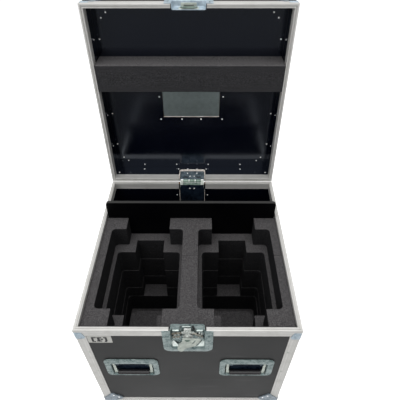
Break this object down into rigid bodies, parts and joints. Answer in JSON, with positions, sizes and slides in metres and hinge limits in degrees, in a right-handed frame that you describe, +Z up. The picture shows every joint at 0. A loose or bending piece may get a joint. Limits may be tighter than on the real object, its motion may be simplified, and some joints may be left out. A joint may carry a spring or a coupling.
{
  "type": "flight case for moving head lights",
  "caption": "Road case on castors with a hinged lid standing open, cut foam nests for moving head lights, a rear accessory bay, a butterfly latch and sprung handles.",
  "frame": {"origin": "on the floor under the castors, at the bottom centre of the whole object with its lid open", "axes": "+Z up; +X to the right seen from the front; -Y is the front, where the latch is, and +Y the hinge side"},
  "size_m": [0.6444, 0.7816, 1.3051],
  "materials": {
    "laminate": "satin",
    "divider": "satin",
    "extrusion": "satin",
    "zinc": "satin",
    "foam": "matte",
    "grip": "matte",
    "wheel": "satin",
    "pedal": "satin"
  },
  "bodies": {
    "base": {"base_front_panel": "laminate", "base_rear_panel": "laminate", "base_left_panel": "laminate", "base_right_panel": "laminate", "base_bottom_panel": "laminate", "base_rim_left": "extrusion", "base_rim_right": "extrusion", "base_bottom_frame": "extrusion", "base_edge_front_left": "extrusion", "base_edge_front_right": "extrusion", "base_edge_rear_left": "extrusion", "base_edge_rear_right": "extrusion", "base_ball_corner_front_left": "zinc", "base_ball_corner_front_right": "zinc", "base_ball_corner_rear_left": "zinc", "base_ball_corner_rear_right": "zinc", "foam_top_sheet": "foam", "foam_middle_block": "foam", "foam_bottom_block": "foam", "divider_panel": "divider", "latch_dish": "zinc", "hinge_dish_base": "zinc", "hinge_pin": "zinc", "handle_dish_front_left": "zinc", "handle_dish_front_right": "zinc", "handle_dish_rear_left": "zinc", "handle_dish_rear_right": "zinc"},
    "lid": {"lid_front_panel": "laminate", "lid_rear_panel": "laminate", "lid_left_panel": "laminate", "lid_right_panel": "laminate", "lid_top_panel": "laminate", "lid_rim_left": "extrusion", "lid_rim_right": "extrusion", "lid_top_frame": "extrusion", "lid_ball_corner_front_left": "zinc", "lid_ball_corner_front_right": "zinc", "lid_ball_corner_rear_left": "zinc", "lid_ball_corner_rear_right": "zinc", "lid_foam_bar": "foam", "label_dish": "zinc", "latch_keeper_dish": "zinc", "hinge_dish_lid": "zinc"},
    "latch_hub": {"latch_cam": "zinc"},
    "latch_wing": {"latch_wing": "zinc"},
    "latch_hook": {"latch_hook": "zinc"},
    "handle_front_left": {"handle_bail_front_left": "grip"},
    "handle_front_right": {"handle_bail_front_right": "grip"},
    "handle_rear_left": {"handle_bail_rear_left": "grip"},
    "handle_rear_right": {"handle_bail_rear_right": "grip"},
    "fork_front_left": {"castor_fork_front_left": "zinc"},
    "wheel_front_left": {"castor_wheel_front_left": "wheel"},
    "brake_left": {"castor_brake_left": "pedal"},
    "fork_front_right": {"castor_fork_front_right": "zinc"},
    "wheel_front_right": {"castor_wheel_front_right": "wheel"},
    "brake_right": {"castor_brake_right": "pedal"},
    "fork_rear_left": {"castor_fork_rear_left": "zinc"},
    "wheel_rear_left": {"castor_wheel_rear_left": "wheel"},
    "fork_rear_right": {"castor_fork_rear_right": "zinc"},
    "wheel_rear_right": {"castor_wheel_rear_right": "wheel"}
  },
  "joints": [
    {"name": "lid_hinge", "type": "hinge", "parent": "base", "child": "lid", "pos_m": [0, 0.27097, 0.658], "axis": [1, 0, 0], "range_deg": [0, 91.83]},
    {"name": "latch_turn", "type": "hinge", "parent": "base", "child": "latch_hub", "pos_m": [0, -0.37503, 0.611], "axis": [0, 1, 0], "range_deg": [0, 180]},
    {"name": "wing_fold", "type": "hinge", "parent": "latch_hub", "child": "latch_wing", "pos_m": [0, -0.37453, 0.611], "axis": [-0.9986, 0, 0.0523], "range_deg": [-18, 72]},
    {"name": "hook_tilt", "type": "hinge", "parent": "base", "child": "latch_hook", "pos_m": [0, -0.36733, 0.631], "axis": [-1, 0, 0], "range_deg": [0, 12]},
    {"name": "handle_front_left_swing", "type": "hinge", "parent": "base", "child": "handle_front_left", "pos_m": [-0.1825, -0.37003, 0.436], "axis": [-1, 0, 0], "range_deg": [0, 90], "stiffness_Nm_per_rad": 0.03, "springref_deg": -17.19},
    {"name": "handle_front_right_swing", "type": "hinge", "parent": "base", "child": "handle_front_right", "pos_m": [0.1825, -0.37003, 0.436], "axis": [-1, 0, 0], "range_deg": [0, 90], "stiffness_Nm_per_rad": 0.03, "springref_deg": -17.19},
    {"name": "handle_rear_left_swing", "type": "hinge", "parent": "base", "child": "handle_rear_left", "pos_m": [-0.1825, 0.26597, 0.436], "axis": [1, 0, 0], "range_deg": [0, 90], "stiffness_Nm_per_rad": 0.03, "springref_deg": -17.19},
    {"name": "handle_rear_right_swing", "type": "hinge", "parent": "base", "child": "handle_rear_right", "pos_m": [0.1825, 0.26597, 0.436], "axis": [1, 0, 0], "range_deg": [0, 90], "stiffness_Nm_per_rad": 0.03, "springref_deg": -17.19},
    {"name": "castor_swivel_front_left", "type": "hinge", "parent": "base", "child": "fork_front_left", "pos_m": [-0.22, -0.27503, 0.12], "axis": [0, 0, 1], "continuous": true},
    {"name": "wheel_spin_front_left", "type": "hinge", "parent": "fork_front_left", "child": "wheel_front_left", "pos_m": [-0.22, -0.24503, 0.05], "axis": [1, 0, 0], "continuous": true},
    {"name": "brake_pedal_left", "type": "hinge", "parent": "fork_front_left", "child": "brake_left", "pos_m": [-0.22, -0.23803, 0.113], "axis": [-1, 0, 0], "range_deg": [0, 12]},
    {"name": "castor_swivel_front_right", "type": "hinge", "parent": "base", "child": "fork_front_right", "pos_m": [0.22, -0.27503, 0.12], "axis": [0, 0, 1], "continuous": true},
    {"name": "wheel_spin_front_right", "type": "hinge", "parent": "fork_front_right", "child": "wheel_front_right", "pos_m": [0.22, -0.24503, 0.05], "axis": [1, 0, 0], "continuous": true},
    {"name": "brake_pedal_right", "type": "hinge", "parent": "fork_front_right", "child": "brake_right", "pos_m": [0.22, -0.23803, 0.113], "axis": [-1, 0, 0], "range_deg": [0, 12]},
    {"name": "castor_swivel_rear_left", "type": "hinge", "parent": "base", "child": "fork_rear_left", "pos_m": [-0.22, 0.17097, 0.12], "axis": [0, 0, 1], "continuous": true},
    {"name": "wheel_spin_rear_left", "type": "hinge", "parent": "fork_rear_left", "child": "wheel_rear_left", "pos_m": [-0.22, 0.20097, 0.05], "axis": [1, 0, 0], "continuous": true},
    {"name": "castor_swivel_rear_right", "type": "hinge", "parent": "base", "child": "fork_rear_right", "pos_m": [0.22, 0.17097, 0.12], "axis": [0, 0, 1], "continuous": true},
    {"name": "wheel_spin_rear_right", "type": "hinge", "parent": "fork_rear_right", "child": "wheel_rear_right", "pos_m": [0.22, 0.20097, 0.05], "axis": [1, 0, 0], "continuous": true}
  ],
  "couplings": [
    {"joint": "hook_tilt", "follows": "latch_turn", "ratio": 0.0666}
  ]
}
